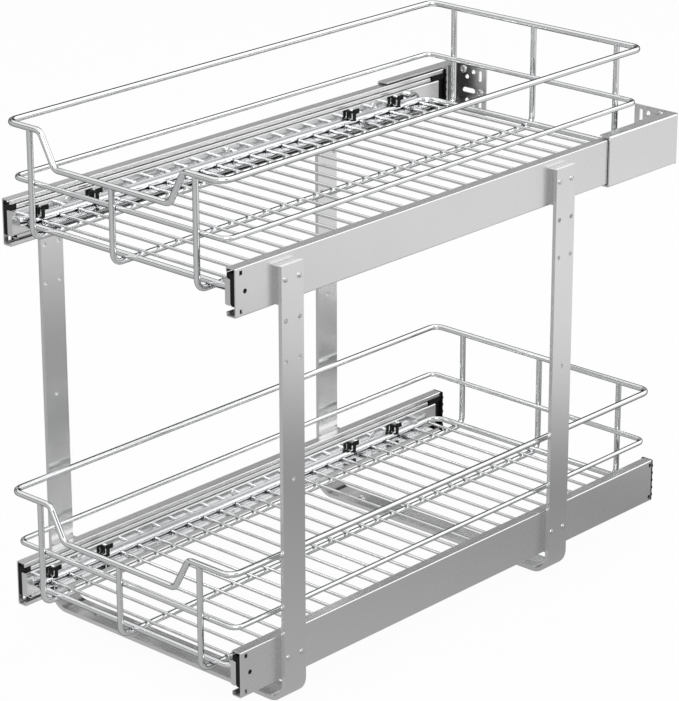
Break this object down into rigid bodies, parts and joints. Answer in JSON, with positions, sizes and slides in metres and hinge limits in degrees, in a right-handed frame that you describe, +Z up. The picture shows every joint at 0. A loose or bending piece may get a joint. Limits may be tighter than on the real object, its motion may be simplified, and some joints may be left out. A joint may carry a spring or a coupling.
{
  "type": "two-tier pull-out cabinet wire basket",
  "caption": "Chrome wire baskets on two tiers of ball-bearing slides, held by bent steel straps that screw to the floor of a base cabinet.",
  "frame": {"origin": "on the cabinet floor, at the centre of the pattern of the four floor screws in the feet", "axes": "+X to the right across the cabinet, +Y towards the back of the cabinet, +Z up; the baskets pull out along -Y"},
  "size_m": [0.3158, 0.6453, 0.5178],
  "materials": {
    "chrome_wire": "bright chrome plating",
    "slide_steel": "bright zinc plating",
    "rail_steel": "chrome plating, satin",
    "bracket_steel": "bright zinc plating",
    "leg_steel": "nickel plating, satin",
    "cage_steel": "lightly oiled",
    "screw_steel": "nickel plating",
    "black_plastic": "moulded"
  },
  "bodies": {
    "stand": {"leg_strap_front": "leg_steel", "leg_strap_rear": "leg_steel", "spacers_upper": "leg_steel", "spacers_lower": "leg_steel", "leg_screws_upper": "screw_steel", "leg_screws_lower": "screw_steel", "floor_screws": "screw_steel", "outer_upper_l": "slide_steel", "outer_upper_r": "slide_steel", "outer_lower_l": "slide_steel", "outer_lower_r": "slide_steel", "rear_stops": "black_plastic"},
    "basket_upper": {"inner_upper_l": "slide_steel", "inner_upper_r": "slide_steel", "rail_upper_l": "rail_steel", "rail_upper_r": "rail_steel", "rivets_upper": "screw_steel", "clips_upper": "black_plastic", "rim_upper": "chrome_wire", "middle_rail_upper": "chrome_wire", "floor_loop_upper": "chrome_wire", "floor_wires_upper": "chrome_wire", "u_wire_left_upper": "chrome_wire", "u_wire_middle_upper": "chrome_wire", "u_wire_right_upper": "chrome_wire"},
    "mid_slide_upper_l": {"mid_upper_l": "slide_steel", "mid_stop_upper_l": "black_plastic"},
    "outer_balls_upper_l": {"outer_cage_upper_l": "cage_steel"},
    "inner_balls_upper_l": {"inner_cage_upper_l": "cage_steel"},
    "mid_slide_upper_r": {"mid_upper_r": "slide_steel", "mid_stop_upper_r": "black_plastic"},
    "outer_balls_upper_r": {"outer_cage_upper_r": "cage_steel"},
    "inner_balls_upper_r": {"inner_cage_upper_r": "cage_steel"},
    "basket_lower": {"inner_lower_l": "slide_steel", "inner_lower_r": "slide_steel", "rail_lower_l": "rail_steel", "rail_lower_r": "rail_steel", "rivets_lower": "screw_steel", "clips_lower": "black_plastic", "rim_lower": "chrome_wire", "middle_rail_lower": "chrome_wire", "floor_loop_lower": "chrome_wire", "floor_wires_lower": "chrome_wire", "u_wire_left_lower": "chrome_wire", "u_wire_middle_lower": "chrome_wire", "u_wire_right_lower": "chrome_wire"},
    "mid_slide_lower_l": {"mid_lower_l": "slide_steel", "mid_stop_lower_l": "black_plastic"},
    "outer_balls_lower_l": {"outer_cage_lower_l": "cage_steel"},
    "inner_balls_lower_l": {"inner_cage_lower_l": "cage_steel"},
    "mid_slide_lower_r": {"mid_lower_r": "slide_steel", "mid_stop_lower_r": "black_plastic"},
    "outer_balls_lower_r": {"outer_cage_lower_r": "cage_steel"},
    "inner_balls_lower_r": {"inner_cage_lower_r": "cage_steel"},
    "rear_bracket_l": {"bracket_l": "bracket_steel", "bracket_screws_l": "screw_steel"},
    "rear_bracket_r": {"bracket_r": "bracket_steel", "bracket_screws_r": "screw_steel"}
  },
  "joints": [
    {"name": "pull_upper", "type": "slide", "parent": "stand", "child": "basket_upper", "axis": [0, -1, 0], "range_m": [0, 0.6]},
    {"name": "run_mid_upper_l", "type": "slide", "parent": "stand", "child": "mid_slide_upper_l", "axis": [0, -1, 0], "range_m": [0, 0.3]},
    {"name": "run_outer_balls_upper_l", "type": "slide", "parent": "stand", "child": "outer_balls_upper_l", "axis": [0, -1, 0], "range_m": [0, 0.15]},
    {"name": "run_inner_balls_upper_l", "type": "slide", "parent": "stand", "child": "inner_balls_upper_l", "axis": [0, -1, 0], "range_m": [0, 0.45]},
    {"name": "run_mid_upper_r", "type": "slide", "parent": "stand", "child": "mid_slide_upper_r", "axis": [0, -1, 0], "range_m": [0, 0.3]},
    {"name": "run_outer_balls_upper_r", "type": "slide", "parent": "stand", "child": "outer_balls_upper_r", "axis": [0, -1, 0], "range_m": [0, 0.15]},
    {"name": "run_inner_balls_upper_r", "type": "slide", "parent": "stand", "child": "inner_balls_upper_r", "axis": [0, -1, 0], "range_m": [0, 0.45]},
    {"name": "pull_lower", "type": "slide", "parent": "stand", "child": "basket_lower", "axis": [0, -1, 0], "range_m": [0, 0.6]},
    {"name": "run_mid_lower_l", "type": "slide", "parent": "stand", "child": "mid_slide_lower_l", "axis": [0, -1, 0], "range_m": [0, 0.3]},
    {"name": "run_outer_balls_lower_l", "type": "slide", "parent": "stand", "child": "outer_balls_lower_l", "axis": [0, -1, 0], "range_m": [0, 0.15]},
    {"name": "run_inner_balls_lower_l", "type": "slide", "parent": "stand", "child": "inner_balls_lower_l", "axis": [0, -1, 0], "range_m": [0, 0.45]},
    {"name": "run_mid_lower_r", "type": "slide", "parent": "stand", "child": "mid_slide_lower_r", "axis": [0, -1, 0], "range_m": [0, 0.3]},
    {"name": "run_outer_balls_lower_r", "type": "slide", "parent": "stand", "child": "outer_balls_lower_r", "axis": [0, -1, 0], "range_m": [0, 0.15]},
    {"name": "run_inner_balls_lower_r", "type": "slide", "parent": "stand", "child": "inner_balls_lower_r", "axis": [0, -1, 0], "range_m": [0, 0.45]},
    {"name": "adjust_bracket_l", "type": "slide", "parent": "stand", "child": "rear_bracket_l", "axis": [0, 1, 0], "range_m": [-0.015, 0.03]},
    {"name": "adjust_bracket_r", "type": "slide", "parent": "stand", "child": "rear_bracket_r", "axis": [0, 1, 0], "range_m": [-0.015, 0.03]}
  ],
  "couplings": [
    {"joint": "run_mid_upper_l", "follows": "pull_upper", "ratio": 0.5},
    {"joint": "run_outer_balls_upper_l", "follows": "pull_upper", "ratio": 0.25},
    {"joint": "run_inner_balls_upper_l", "follows": "pull_upper", "ratio": 0.75},
    {"joint": "run_mid_upper_r", "follows": "pull_upper", "ratio": 0.5},
    {"joint": "run_outer_balls_upper_r", "follows": "pull_upper", "ratio": 0.25},
    {"joint": "run_inner_balls_upper_r", "follows": "pull_upper", "ratio": 0.75},
    {"joint": "run_mid_lower_l", "follows": "pull_lower", "ratio": 0.5},
    {"joint": "run_outer_balls_lower_l", "follows": "pull_lower", "ratio": 0.25},
    {"joint": "run_inner_balls_lower_l", "follows": "pull_lower", "ratio": 0.75},
    {"joint": "run_mid_lower_r", "follows": "pull_lower", "ratio": 0.5},
    {"joint": "run_outer_balls_lower_r", "follows": "pull_lower", "ratio": 0.25},
    {"joint": "run_inner_balls_lower_r", "follows": "pull_lower", "ratio": 0.75}
  ]
}
